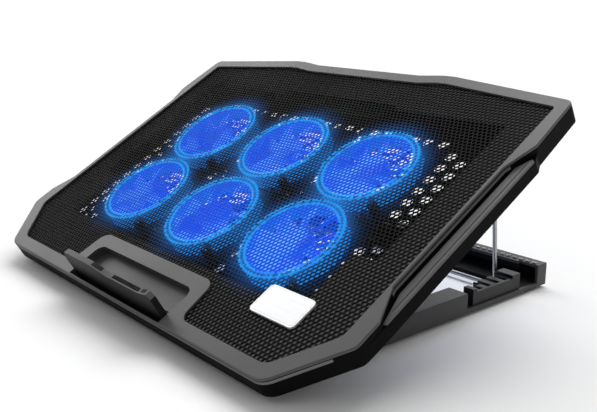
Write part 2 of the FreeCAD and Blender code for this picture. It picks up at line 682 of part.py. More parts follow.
def base_frame():
    pieces = base_arm()
    pieces += [mirrored(piece) for piece in base_arm()]
    wedge = [(BASE_FRONT, BASE_LOW), (FRONT_BAR_REAR, BASE_LOW), (FRONT_BAR_REAR, FRONT_BAR_TOP),
             (BASE_FRONT + 4.4, FRONT_BAR_TOP), (BASE_FRONT, 7.6), (BASE_FRONT, BASE_LOW)]
    face = Part.Face(Part.makePolygon([VEC(-ARM_X + 1, y, z) for y, z in wedge]))
    pieces.append(face.extrude(VEC(2 * ARM_X - 2, 0, 0)))
    pieces += rear_bar()
    pieces += base_knuckles(-HINGE_X) + base_knuckles(HINGE_X)
    frame = fuse(pieces)
    for slot in grip_slots():
        frame = frame.cut(slot)
    return frame


def hinge_pins():
    reach = KNUCKLE_GAP + KNUCKLE_WIDTH
    right = rod_x(HINGE_PIN_R, HINGE_X - reach, HINGE_X + reach, HINGE_Y, HINGE_Z)
    return Part.makeCompound([right, mirrored(right)])


def notch_rack():
    """Right rack: a block with notches across its top for the foot of the stay."""
    x0, x1 = RACK_X
    y0, y1 = RACK_Y
    block = box(x0, x1, y0, y1, SILL_TOP, RACK_TOP)
    block = block.fuse(box(x0, x1, y0, y0 + 4.5, RACK_TOP, RACK_TOP + RACK_END))
    block = block.fuse(box(x0, x1, y1 - 9, y1, RACK_TOP, RACK_TOP + RACK_END))
    step_x, step_y = RACK_STEP
    block = block.cut(box(x0 - 1, step_x, y0 - 1, step_y, 0, RACK_TOP + RACK_END + 1))
    for i in range(NOTCHES):
        y = y0 + 9.0 + NOTCH_PITCH * i
        notch = box(x0 - 1, x1 - 2.2, y, y + NOTCH_WIDTH, RACK_TOP - NOTCH_DEPTH, RACK_TOP + 1)
        bottom = rod_x(NOTCH_WIDTH / 2, x0 - 1, x1 - 2.2, y + NOTCH_WIDTH / 2,
                       RACK_TOP - NOTCH_DEPTH)
        notch = notch.fuse(bottom)
        block = block.cut(notch)
    return block.removeSplitter()


def base_feet():
    feet = []
    dx = FOOT_SIZE[0] / 2
    dy = FOOT_SIZE[1] / 2
    for x, y in ((142, 22), (142, 258)):
        foot = slab([(x - dx, y - dy, 3), (x + dx, y - dy, 3), (x + dx, y + dy, 3),
                     (x - dx, y + dy, 3)], 0, BASE_LOW)
        feet += [foot, mirrored(foot)]
    return Part.makeCompound(feet)


def shell_screws():
    """Eight cross-head screw heads under the shell."""
    screws = []
    for x, y in ((150, 24), (176, 120), (176, 240), (60, 246)):
        head = cylinder(2.8, -DECK_THICK - 0.8, -DECK_THICK, x, y)
        head = head.cut(box(x - 1.8, x + 1.8, y - 0.4, y + 0.4, -16, -DECK_THICK - 0.3))
        head = head.cut(box(x - 0.4, x + 0.4, y - 1.8, y + 1.8, -16, -DECK_THICK - 0.3))
        screws += [head, mirrored(head)]
    return Part.makeCompound(screws)


# ---- all pieces ---------------------------------------------------------
def deck_pieces():
    pieces = {
        "top_bezel": top_bezel(),
        "mesh_sheet": mesh_sheet(),
        "bottom_shell": bottom_shell(),
        "side_rail_right": side_rail(),
        "side_rail_left": mirrored(side_rail()),
        "recess_tray": recess_tray(),
        "stopper_flap": stopper_flap(),
        "stopper_pads": flap_pads(),
        "stopper_pins": flap_pins(),
        "badge_plate": badge_plate(),
        "fan_screws": fan_screws(),
        "control_board": control_board(),
        "usb_socket_left": usb_socket(SOCKET_X[0]),
        "usb_socket_right": usb_socket(SOCKET_X[1]),
        "speed_dial": speed_dial(),
        "dial_post": dial_post(),
        "light_button": light_button(),
        "fan_leads": fan_leads(),
        "stay_wire": stay_wire(),
        "stay_clips": stay_clips(),
        "shell_screws": shell_screws(),
    }
    number = 0
    for y in FAN_Y:
        for x in FAN_X:
            number += 1
            pieces["fan_frame_%d" % number] = fan_frame(x, y)
            pieces["led_ring_%d" % number] = led_ring(x, y)
            pieces["rotor_%d" % number] = rotor(x, y)
    return pieces


def base_pieces():
    return {
        "base_frame": base_frame(),
        "hinge_pins": hinge_pins(),
        "notch_rack_right": notch_rack(),
        "notch_rack_left": mirrored(notch_rack()),
        "base_feet": base_feet(),
    }


def main():
    os.makedirs("parts", exist_ok=True)
    placed = {name: on_deck(shape) for name, shape in deck_pieces().items()}
    placed.update({name: on_base(shape) for name, shape in base_pieces().items()})
    for name, shape in placed.items():
        shape.exportStep("parts/%s.step" % name)
        print(name, len(shape.Solids), shape.isValid(), round(shape.Volume, 1))


main()
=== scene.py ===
import json
import math

import bmesh
import bpy
from mathutils import Matrix, Vector
from mathutils.bvhtree import BVHTree


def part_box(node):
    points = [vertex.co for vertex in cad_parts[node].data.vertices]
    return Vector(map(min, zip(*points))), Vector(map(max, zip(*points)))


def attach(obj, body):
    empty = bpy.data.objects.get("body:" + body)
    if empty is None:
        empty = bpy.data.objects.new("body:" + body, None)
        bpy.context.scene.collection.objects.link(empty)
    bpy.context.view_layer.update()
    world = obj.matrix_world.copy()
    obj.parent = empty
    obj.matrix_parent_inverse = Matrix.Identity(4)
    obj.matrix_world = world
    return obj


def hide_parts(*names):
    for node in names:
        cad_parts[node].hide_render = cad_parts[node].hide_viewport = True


bl_info = {
    "name": "Laptop Cooling Pad",
    "version": (1, 0, 0),
    "blender": (4, 5, 0),
    "location": "3D View > Sidebar > Cooling Pad",
    "description": "Builds a tilting laptop cooling pad with six lit fans on its folding base",
    "category": "Add Mesh",
}

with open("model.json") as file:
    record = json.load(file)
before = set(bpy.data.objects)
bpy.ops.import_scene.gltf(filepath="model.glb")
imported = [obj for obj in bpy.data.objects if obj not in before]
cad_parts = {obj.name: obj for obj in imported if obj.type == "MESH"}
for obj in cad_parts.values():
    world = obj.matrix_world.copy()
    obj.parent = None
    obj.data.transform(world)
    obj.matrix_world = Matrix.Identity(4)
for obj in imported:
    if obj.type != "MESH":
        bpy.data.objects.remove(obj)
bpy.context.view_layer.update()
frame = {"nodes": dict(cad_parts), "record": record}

MM = 0.001
JOINTS = {joint["name"]: joint for joint in frame["record"]["behaviour"]["joints"]}
FANS = range(1, 7)

# The deck is drawn flat (x across, y from its front edge, z up from its top face)
# and tilted as one about the hinge.
HINGE = Vector(JOINTS["deck_tilt"]["pos_m"])
HINGE_ON_DECK = Vector((0, 31.8 * MM, -17.0 * MM))
DECK_NORMAL = Vector(JOINTS["rotor_spin_1"]["axis"]).normalized()
TILT = math.atan2(-DECK_NORMAL.y, DECK_NORMAL.z)
DECK = (Matrix.Translation(HINGE) @ Matrix.Rotation(TILT, 4, "X")
        @ Matrix.Translation(-HINGE_ON_DECK))
FAN_MIDDLES = [DECK.inverted() @ Vector(JOINTS["rotor_spin_%d" % n]["pos_m"]) for n in FANS]

SHEET_TOP = -1.6 * MM           # the sheet's upper face, below the deck's top face
FAN_BORE = 33.0 * MM            # opening round one fan
RING_LINES = (36.0 * MM, 32.4 * MM)     # the two painted bright circles of light round a fan
RING_RADIUS = 35.0 * MM
SCREW_OFFSET = 31.8 * MM        # a fan's screws from its middle, each way
SHELF_LEVELS = (-4.1 * MM, -2.1 * MM)   # height of the shelf under the sheet's edge
SHELF_HALF_WIDTH = 187.0 * MM
CHANNEL_HALF_WIDTH = 148.2 * MM         # black painted shade inside of the base's rear bar
CHANNEL_DEPTH = (50.0 * MM, 138.0 * MM)
CHANNEL_TOP = 16.3 * MM
PLATE_MIDDLE = (131.0 * MM, 46.5 * MM)
PLATE_SIZE = (39.5 * MM, 22.0 * MM, 1.4 * MM)
FOOT_SIZE = (12.0 * MM, 18.0 * MM, 2.0 * MM)
SOCKET_MIDDLES = (-34.0 * MM, -14.0 * MM)
CAMERA_PLACE = (0.4716, -0.3725, 0.2127)
CAMERA_AZIMUTH, CAMERA_ELEVATION = 49.6, 14.7


# ---- sizes and colours that a user may change ----------------------------
class PadSizes(bpy.types.PropertyGroup):
    """Sizes of the modelled details."""
    hole_pitch: bpy.props.FloatProperty(
        name="Hole pitch", description="Distance between holes of the perforated sheet",
        default=3.4 * MM, unit="LENGTH", precision=4)
    hole_width: bpy.props.FloatProperty(
        name="Hole width", description="Width of a six-sided hole across its flats",
        default=2.56 * MM, unit="LENGTH", precision=4)
    sheet_thickness: bpy.props.FloatProperty(
        name="Sheet thickness", description="Thickness of the perforated sheet",
        default=0.8 * MM, unit="LENGTH", precision=4)
    soft_edge: bpy.props.FloatProperty(
        name="Soft edge", description="Rounding on the edges of moulded pieces",
        default=0.35 * MM, unit="LENGTH", precision=4)
    wire_radius: bpy.props.FloatProperty(
        name="Wire radius", description="Half the thickness of the stay's wire",
        default=1.6 * MM, unit="LENGTH", precision=4)
    blades: bpy.props.IntProperty(
        name="Blades", description="Blades on each fan", default=9, min=3, max=15)


class PadColours(bpy.types.PropertyGroup):
    """Colours of the finishes, as linear values."""
    bezel: bpy.props.FloatVectorProperty(
        name="Bezel", description="Satin plastic of the bezel, rails and stopper",
        default=(0.060, 0.060, 0.062), subtype="COLOR", min=0, max=1)
    shell: bpy.props.FloatVectorProperty(
        name="Shell", description="Black plastic of the deck's shell",
        default=(0.0035, 0.0035, 0.0038), subtype="COLOR", min=0, max=1)
    sheet: bpy.props.FloatVectorProperty(
        name="Sheet", description="Coating of the perforated sheet",
        default=(0.0045, 0.0045, 0.005), subtype="COLOR", min=0, max=1)
    base: bpy.props.FloatVectorProperty(
        name="Base", description="Dark grey plastic of the base frame",
        default=(0.050, 0.050, 0.051), subtype="COLOR", min=0, max=1)
    plate: bpy.props.FloatVectorProperty(
        name="Name plate", description="Silver of the blank name plate",
        default=(0.86, 0.87, 0.88), subtype="COLOR", min=0, max=1)
    ring_light: bpy.props.FloatVectorProperty(
        name="Ring light", description="Light of the rings round the fans",
        default=(0.012, 0.30, 0.95), subtype="COLOR", min=0, max=1)
    blade_light: bpy.props.FloatVectorProperty(
        name="Blade light", description="Light inside the fans' blades",
        default=(0.13, 0.46, 1.0), subtype="COLOR", min=0, max=1)


# ---- node trees ------------------------------------------------------------
class Nodes:
    """Short words for laying out one node tree."""

    def __init__(self, tree):
        self.tree = tree

    def add(self, kind, **settings):
        made = self.tree.nodes.new("ShaderNode" + kind)
        made.location = (220 * len(self.tree.nodes), 0)
        for key, value in settings.items():
            setattr(made, key, value)
        return made

    def feed(self, socket, value):
        if isinstance(value, bpy.types.NodeSocket):
            self.tree.links.new(value, socket)
        else:
            socket.default_value = value

    def sum(self, operation, first, second=0.0, clamp=False):
        made = self.add("Math", operation=operation, use_clamp=clamp)
        self.feed(made.inputs[0], first)
        self.feed(made.inputs[1], second)
        return made.outputs[0]

    def remap(self, value, low, high, to_low=0.0, to_high=1.0, smooth=False):
        made = self.add("MapRange", interpolation_type="SMOOTHSTEP" if smooth else "LINEAR")
        for socket, given in zip(made.inputs, (value, low, high, to_low, to_high)):
            self.feed(socket, given)
        return made.outputs[0]

    def mix(self, factor, first, second, mode="MIX"):
        made = self.add("Mix", data_type="RGBA", blend_type=mode)
        self.feed(made.inputs[0], factor)
        self.feed(made.inputs[6], first)
        self.feed(made.inputs[7], second)
        return made.outputs[2]

    def noise(self, vector, scale, detail=2.0):
        made = self.add("TexNoise")
        self.feed(made.inputs["Vector"], vector)
        self.feed(made.inputs["Scale"], scale)
        self.feed(made.inputs["Detail"], detail)
        return made.outputs["Fac"]

    def place(self):
        return self.add("TexCoord").outputs["Object"]

    def deck_place(self):
        """Object coordinates turned back onto the flat deck."""
        turned = self.add("Mapping", vector_type="POINT")
        self.feed(turned.inputs["Vector"], self.place())
        back = DECK.inverted()
        turned.inputs["Rotation"].default_value = back.to_euler()
        turned.inputs["Location"].default_value = back.to_translation()
        return turned.outputs["Vector"]


def new_group(name, inputs, outputs):
    """Empty shader node group with its sockets; returns its tree, helper and ends."""
    tree = bpy.data.node_groups.new(name, "ShaderNodeTree")
    for label, kind in inputs:
        tree.interface.new_socket(label, in_out="INPUT", socket_type="NodeSocket" + kind)
    for label, kind in outputs:
        tree.interface.new_socket(label, in_out="OUTPUT", socket_type="NodeSocket" + kind)
    start = tree.nodes.new("NodeGroupInput")
    end = tree.nodes.new("NodeGroupOutput")
    end.location = (2400, 0)
    return tree, Nodes(tree), start.outputs, end.inputs


def moulded_skin_group():
    """Fine mould texture with slow changes of shade and gloss."""
    tree, make, given, out = new_group(
        "Moulded Skin",
        [("Colour", "Color"), ("Variation", "Float"), ("Grain Scale", "Float"),
         ("Rough Low", "Float"), ("Rough High", "Float")],
        [("Colour", "Color"), ("Roughness", "Float"), ("Height", "Float")])
    place = make.place()
    slow = make.noise(place, 14.0, 3.0)
    grain = make.noise(place, given["Grain Scale"], 2.0)
    shade = make.remap(slow, 0.3, 0.7, -1.0, 1.0)
    shade = make.sum("MULTIPLY", shade, given["Variation"])
    bright = make.sum("ADD", shade, 1.0)
    speck = make.remap(grain, 0.35, 0.65, 0.9, 1.1)
    bright = make.sum("MULTIPLY", bright, speck)
    scaled = make.add("VectorMath", operation="SCALE")
    make.feed(scaled.inputs[0], given["Colour"])
    make.feed(scaled.inputs["Scale"], bright)
    make.feed(out["Colour"], scaled.outputs[0])
    make.feed(out["Roughness"], make.remap(slow, 0.3, 0.7, given["Rough Low"], given["Rough High"]))
    make.feed(out["Height"], grain)
    return tree


def brushed_group():
    """Fine lines along X, as brushing or drawing leaves them."""
    tree, make, given, out = new_group(
        "Brushed Lines",
        [("Colour", "Color"), ("Along", "Vector"), ("Rough Low", "Float"), ("Rough High", "Float")],
        [("Colour", "Color"), ("Roughness", "Float"), ("Height", "Float")])
    stretched = make.add("VectorMath", operation="MULTIPLY")
    make.feed(stretched.inputs[0], make.deck_place())
    make.feed(stretched.inputs[1], given["Along"])
    lines = make.noise(stretched.outputs[0], 1.0, 4.0)
    shade = make.remap(lines, 0.3, 0.7, 0.9, 1.06)
    scaled = make.add("VectorMath", operation="SCALE")
    make.feed(scaled.inputs[0], given["Colour"])
    make.feed(scaled.inputs["Scale"], shade)
    make.feed(out["Colour"], scaled.outputs[0])
    make.feed(out["Roughness"], make.remap(lines, 0.3, 0.7, given["Rough Low"], given["Rough High"]))
    make.feed(out["Height"], lines)
    return tree


def dust_group():
    """Thin dust on what faces upward."""
    tree, make, given, out = new_group(
        "Settled Dust", [("Colour", "Color"), ("Dust", "Color"), ("Amount", "Float")],
        [("Colour", "Color")])
    up = make.add("SeparateXYZ")
    make.feed(up.inputs[0], make.add("NewGeometry").outputs["Normal"])
    facing = make.remap(up.outputs[2], 0.3, 0.95)
    patches = make.remap(make.noise(make.place(), 38.0, 6.0), 0.42, 0.72)
    cover = make.sum("MULTIPLY", make.sum("MULTIPLY", facing, patches), given["Amount"])
    make.feed(out["Colour"], make.mix(cover, given["Colour"], given["Dust"]))
    return tree


def painted_fan_glow_group():
    """Painted light: emission standing for the light that the rings and blades throw on what is near
    each fan.
    """
    tree, make, given, out = new_group(
        "Fan Glow",
        [("Inside", "Color"), ("Ring", "Color"), ("Spill", "Color"), ("Reach", "Float")],
        [("Light", "Color")])
    flat = make.add("VectorMath", operation="MULTIPLY")
    make.feed(flat.inputs[0], make.deck_place())
    flat.inputs[1].default_value = (1, 1, 0)
    edge = make.sum("ADD", given["Reach"], FAN_BORE)
    nearest, spill = 1.0, 0.0
    for middle in FAN_MIDDLES:
        away = make.add("VectorMath", operation="DISTANCE")
        make.feed(away.inputs[0], flat.outputs[0])
        away.inputs[1].default_value = (middle.x, middle.y, 0)
        away = away.outputs["Value"]
        nearest = make.sum("MINIMUM", away, nearest)
        part = make.sum("POWER", make.remap(away, FAN_BORE, edge, 1.0, 0.0), 3.0)
        spill = make.sum("ADD", part, spill)
    uneven = make.remap(make.noise(make.place(), 45.0, 2.0), 0.3, 0.7, 0.75, 1.2)
    # painted light inside each fan's opening, two painted bright ring lines and a painted spill that
    # fades outward
    inside = make.remap(nearest, 31.5 * MM, 33.5 * MM, 1.0, 0.0, smooth=True)
    off_outer, off_inner = (
        make.sum("ABSOLUTE", make.sum("SUBTRACT", nearest, line)) for line in RING_LINES)
    off_ring = make.sum("MINIMUM", off_outer, off_inner)
    ring = make.remap(off_ring, 0.4 * MM, 1.4 * MM, 1.0, 0.0, smooth=True)
    spill = make.sum("MULTIPLY", spill, uneven, clamp=True)
    light = make.mix(spill, (0, 0, 0, 1), given["Spill"])
    light = make.mix(make.sum("MULTIPLY", inside, uneven), light, given["Inside"])
    light = make.mix(ring, light, given["Ring"])
    make.feed(out["Light"], light)
    return tree


def shared(name, build):
    """The node group of that name, built once."""
    return bpy.data.node_groups.get(name) or build()


def rgba(colour, scale=1.0):
    return (colour[0] * scale, colour[1] * scale, colour[2] * scale, 1.0)


class Finish:
    """One material: a Principled shader with constants on its own sockets."""

    def __init__(self, name, **constants):
        self.material = bpy.data.materials.new(name)
        self.material.use_nodes = True
        self.make = Nodes(self.material.node_tree)
        self.shader = self.material.node_tree.nodes["Principled BSDF"]
        for key, value in constants.items():
            self.shader.inputs[key.replace("_", " ")].default_value = value

    def group(self, name, build, **values):
        made = self.make.add("Group")
        made.node_tree = shared(name, build)
        for key, value in values.items():
            self.make.feed(made.inputs[key.replace("_", " ")], value)
        return made.outputs

    def into(self, socket, value):
        self.make.feed(self.shader.inputs[socket], value)

    def bump(self, height, strength, depth):
        made = self.make.add("Bump")
        made.inputs["Strength"].default_value = strength
        made.inputs["Distance"].default_value = depth
        self.make.feed(made.inputs["Height"], height)
        self.into("Normal", made.outputs[0])

    def skin(self, colour, variation, scale, low, high, strength=0.25, depth=0.08 * MM):
        out = self.group("Moulded Skin", moulded_skin_group, Colour=rgba(colour),
                         Variation=variation, Grain_Scale=scale, Rough_Low=low, Rough_High=high)
        self.into("Base Color", out["Colour"])
        self.into("Roughness", out["Roughness"])
        self.bump(out["Height"], strength, depth)
        return out

    def dust(self, colour, amount):
        out = self.group("Settled Dust", dust_group, Colour=colour, Dust=(0.32, 0.31, 0.30, 1),
                         Amount=amount)
        self.into("Base Color", out["Colour"])

    def brushed(self, colour, along, low, high, strength=0.15):
        out = self.group("Brushed Lines", brushed_group, Colour=rgba(colour), Along=along,
                         Rough_Low=low, Rough_High=high)
        self.into("Base Color", out["Colour"])
        self.into("Roughness", out["Roughness"])
        self.bump(out["Height"], strength, 0.05 * MM)

    def glow(self, inside, ring, spill, reach):
        out = self.group("Fan Glow", painted_fan_glow_group, Inside=rgba(inside), Ring=rgba(ring),
                         Spill=rgba(spill), Reach=reach)
        self.into("Emission Color", out["Light"])
        self.shader.inputs["Emission Strength"].default_value = 1.0


def satin_bezel(colours):
    finish = Finish("Satin Bezel", Specular_IOR_Level=0.45)
    out = finish.skin(colours.bezel, 0.06, 2600.0, 0.36, 0.46)
    finish.dust(out["Colour"], 0.02)
    return finish.material


def black_shell(colours):
    """Black outside; the shelf under the sheet's edge is painted a little lighter, as painted light
    where it is lit under the sheet.
    """
    finish = Finish("Black Shell", Specular_IOR_Level=0.03)
    out = finish.skin(colours.shell, 0.2, 1800.0, 0.45, 0.6)
    make = finish.make
    split = make.add("SeparateXYZ")
    make.feed(split.inputs[0], make.deck_place())
    low, high = SHELF_LEVELS
    lit_shelf_mask = make.sum("MULTIPLY", make.sum("GREATER_THAN", split.outputs[2], low),
                     make.sum("LESS_THAN", split.outputs[2], high))
    across = make.sum("ABSOLUTE", split.outputs[0])
    inboard = make.sum("LESS_THAN", across, SHELF_HALF_WIDTH)
    lit_shelf_mask = make.sum("MULTIPLY", lit_shelf_mask, inboard)
    # painted light: the lit shelf gets a lighter grey
    finish.into("Base Color", make.mix(lit_shelf_mask, out["Colour"], (0.16, 0.16, 0.16, 1)))
    # painted light: the fans' blue light painted on the shell as emission
    finish.glow((0.001, 0.03, 0.25), (0.001, 0.03, 0.25), (0.01, 0.10, 0.40), 26 * MM)
    return finish.material


def coated_sheet(colours):
    finish = Finish("Coated Sheet", Specular_IOR_Level=0.05)
    finish.skin(colours.sheet, 0.25, 3200.0, 0.5, 0.65, 0.3)
    # painted light: blue emission inside each fan's opening, two bright ring lines and a spill round
    # it
    finish.glow((0.006, 0.075, 0.66), (0.012, 0.30, 0.85), (0.015, 0.12, 0.42), 24 * MM)
    return finish.material


def fan_housing(colours):
    finish = Finish("Fan Housing", Specular_IOR_Level=0.2)
    finish.skin(colours.shell, 0.2, 1500.0, 0.4, 0.55)
    # painted light: the fans' blue light painted on the housings as emission
    finish.glow((0.01, 0.12, 0.75), (0.01, 0.25, 0.85), (0.02, 0.14, 0.45), 24 * MM)
    return finish.material


def grey_base(colours):
    """Grey outside; the channel of the rear bar is painted black as painted shade, for the shadow
    inside it.
    """
    finish = Finish("Grey Base", Specular_IOR_Level=0.3)
    out = finish.skin(colours.base, 0.08, 2200.0, 0.42, 0.55)
    make = finish.make
    split = make.add("SeparateXYZ")
    make.feed(split.inputs[0], make.place())
    front, rear = CHANNEL_DEPTH
    across = make.sum("ABSOLUTE", split.outputs[0])
    channel_shade_mask = make.sum("MULTIPLY", make.sum("GREATER_THAN", split.outputs[1], front),
                       make.sum("LESS_THAN", across, CHANNEL_HALF_WIDTH))
    channel_shade_mask = make.sum("MULTIPLY", channel_shade_mask, make.sum("LESS_THAN", split.outputs[2], CHANNEL_TOP))
    channel_shade_mask = make.sum("MULTIPLY", channel_shade_mask, make.sum("LESS_THAN", split.outputs[1], rear))
    # painted shade: the channel is painted near black
    finish.dust(make.mix(channel_shade_mask, out["Colour"], (0.004, 0.004, 0.004, 1)), 0.02)
    finish.into("Roughness", make.sum("MAXIMUM", out["Roughness"], channel_shade_mask))
    return finish.material


def stopper_painted_shade(colours):
    """Painted light and shade: dark on its face, and painted as light as the bezel where it faces up,
    as if lit from above.
    """
    finish = Finish("Stopper Plastic", Specular_IOR_Level=0.12)
    out = finish.skin([0.22 * c for c in colours.bezel], 0.06, 2600.0, 0.36, 0.46)
    make = finish.make
    split = make.add("SeparateXYZ")
    make.feed(split.inputs[0], make.add("TexCoord").outputs["Normal"])
    # painted light and shade: faces turned upward are painted as light as the bezel, the face stays
    # dark
    upward_painted_light = make.remap(split.outputs[2], 0.1, 0.5)
    finish.into("Base Color", make.mix(upward_painted_light, out["Colour"], rgba(colours.bezel, 1.6)))
    return finish.material


def black_rack(colours):
    finish = Finish("Black Rack", Specular_IOR_Level=0.35)
    finish.skin([2.6 * c for c in colours.shell], 0.2, 1600.0, 0.32, 0.5)
    return finish.material


def soft_rubber(colours):
    finish = Finish("Soft Rubber", Specular_IOR_Level=0.2)
    out = finish.skin((0.012, 0.012, 0.012), 0.25, 1200.0, 0.7, 0.9, 0.4)
    finish.dust(out["Colour"], 0.10)
    return finish.material


def silver_plate(colours):
    finish = Finish("Silver Plate", Metallic=0.55)
    finish.brushed(colours.plate, (40.0, 2600.0, 2600.0), 0.34, 0.5)
    return finish.material


def drawn_steel(colours):
    finish = Finish("Drawn Steel", Metallic=1.0)
    finish.brushed((0.36, 0.37, 0.38), (2600.0, 2600.0, 60.0), 0.22, 0.36)
    return finish.material


def plated_steel(colours):
    finish = Finish("Plated Steel", Metallic=1.0)
    finish.brushed((0.62, 0.61, 0.58), (500.0, 1800.0, 500.0), 0.25, 0.4)
    return finish.material


def gold_contact(colours):
    finish = Finish("Gold Contact", Metallic=1.0)
    finish.brushed((0.80, 0.56, 0.20), (900.0, 900.0, 900.0), 0.2, 0.35)
    return finish.material


def green_board(colours):
    finish = Finish("Green Board", Specular_IOR_Level=0.5)
    finish.skin((0.010, 0.075, 0.032), 0.2, 700.0, 0.3, 0.45, 0.2)
    return finish.material


def lead_sleeve(colours):
    finish = Finish("Lead Sleeve", Specular_IOR_Level=0.4)
    finish.skin((0.012, 0.012, 0.013), 0.2, 900.0, 0.35, 0.5)
    return finish.material


def ring_light(colours):
    """Frosted light guide with a few brighter places where its lamps sit."""
    finish = Finish("Ring Light", Specular_IOR_Level=0.5, Emission_Strength=1.0)
    finish.skin((0.05, 0.25, 0.6), 0.1, 900.0, 0.25, 0.4, 0.15)
    make = finish.make
    lamps = make.remap(make.noise(make.place(), 60.0, 1.0), 0.35, 0.65, 0.75, 1.3)
    scaled = make.add("VectorMath", operation="SCALE")
    scaled.inputs[0].default_value = tuple(0.55 * c for c in colours.ring_light)
    make.feed(scaled.inputs["Scale"], lamps)
    finish.into("Emission Color", scaled.outputs[0])
    return finish.material


def lit_blade(colours):
    """Blue blades that glow with painted light, in lighter and darker patches of painted light and
    shade.
    """
    finish = Finish("Lit Blade", Specular_IOR_Level=0.6, Emission_Strength=1.0, Coat_Weight=0.3)
    finish.skin((0.01, 0.06, 0.55), 0.15, 700.0, 0.2, 0.32, 0.1)
    make = finish.make
    # painted light: emission on the blades, in patches that also paint their shading
    patches = make.remap(make.noise(make.place(), 42.0, 1.0), 0.42, 0.56)
    light = make.mix(patches, (0.001, 0.05, 0.70, 1), rgba(colours.blade_light))
    finish.into("Emission Color", light)
    return finish.material


FINISHES = {
    "bezel": satin_bezel, "shell": black_shell, "sheet": coated_sheet, "fan": fan_housing,
    "base": grey_base, "stopper": stopper_painted_shade, "rack": black_rack, "rubber": soft_rubber,
    "plate": silver_plate, "steel": drawn_steel, "plated": plated_steel, "gold": gold_contact,
    "board": green_board, "lead": lead_sleeve, "ring": ring_light, "blade": lit_blade,
}
MADE = {}


def material(name):
    """The finish of that name, made once."""
    if name not in MADE:
        MADE[name] = FINISHES[name](bpy.context.scene.pad_colours)
    return MADE[name]


# ---- modelling helpers -------------------------------------------------------
def deselect():
    if bpy.context.object and bpy.context.object.mode != "OBJECT":
        bpy.ops.object.mode_set(mode="OBJECT")
    bpy.ops.object.select_all(action="DESELECT")


def take(piece):
    """Makes one piece the only selected and the active one."""
    deselect()
    piece.select_set(True)
    bpy.context.view_layer.objects.active = piece


def named(name):
    """The primitive just added, under its own name."""
    piece = bpy.context.object
    piece.name = name
    piece.data.name = name
    return piece


def shape(piece, mode="FACE"):
    """Opens a piece for modelling with nothing selected."""
    take(piece)
    bpy.ops.object.mode_set(mode="EDIT")
    bpy.ops.mesh.select_mode(type=mode)
    bpy.ops.mesh.select_all(action="DESELECT")


def pick(piece, test, kind="faces"):
    """Selects the faces, edges or verts that pass the test, and says how many."""
    mesh = bmesh.from_edit_mesh(piece.data)
    found = 0
    for item in getattr(mesh, kind):
        chosen = bool(test(item))
        item.select_set(chosen)
        found += chosen
    mesh.select_flush_mode()
    bmesh.update_edit_mesh(piece.data)
    return found


def pick_all():
    bpy.ops.mesh.select_all(action="SELECT")


def done():
    bpy.ops.object.mode_set(mode="OBJECT")


def apply(piece, kind, **settings):
    """Adds one modifier with its settings and applies it."""
    take(piece)
    added = piece.modifiers.new(kind, kind)
    for key, value in settings.items():
        setattr(added, key, value)
    bpy.ops.object.modifier_apply(modifier=added.name)


def soften(piece, width, segments=2, angle=30.0, clamp=False):
    """Rounds the edges of a piece and shades it smooth between them."""
    apply(piece, "BEVEL", width=width, segments=segments, limit_method="ANGLE",
          angle_limit=math.radians(angle), use_clamp_overlap=clamp, harden_normals=False)
    bpy.ops.object.shade_smooth_by_angle(angle=math.radians(40))
    apply(piece, "WEIGHTED_NORMAL", keep_sharp=True)


def settle(piece):
    """Puts the place and turn of a piece into its mesh."""
    take(piece)
    bpy.ops.object.transform_apply(location=True, rotation=True, scale=True)


def to_deck(piece):
    """Moves a piece drawn on the flat deck onto the tilted one."""
    settle(piece)
    piece.matrix_world = DECK.copy()
    settle(piece)


def joined(pieces, name):
    deselect()
    for piece in pieces:
        piece.select_set(True)
    bpy.context.view_layer.objects.active = pieces[0]
    bpy.ops.object.join()
    return named(name)


def copied(piece, name):
    """Copy with its own mesh."""
    take(piece)
    bpy.ops.object.duplicate(linked=False)
    return named(name)


def hand_over(piece, finish, body, slot, *nodes):
    """Gives a piece its finish, its body and the nodes that it stands for."""
    piece.data.materials.clear()
    piece.data.materials.append(material(finish))
    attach(piece, body)
    if nodes:
        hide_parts(*nodes)


def refined(node, name, width, clamp=False):
    """Merged copy of an engineering solid with softened edges."""
    mesh = frame["nodes"][node].data.copy()
    piece = bpy.data.objects.new(name, mesh)
    bpy.context.scene.collection.objects.link(piece)
    mesh.name = name
    shape(piece)
    pick_all()
    bpy.ops.mesh.remove_doubles(threshold=0.002 * MM)
    bpy.ops.mesh.dissolve_limited(angle_limit=math.radians(0.4))
    done()
    soften(piece, width, clamp=clamp)
    return piece


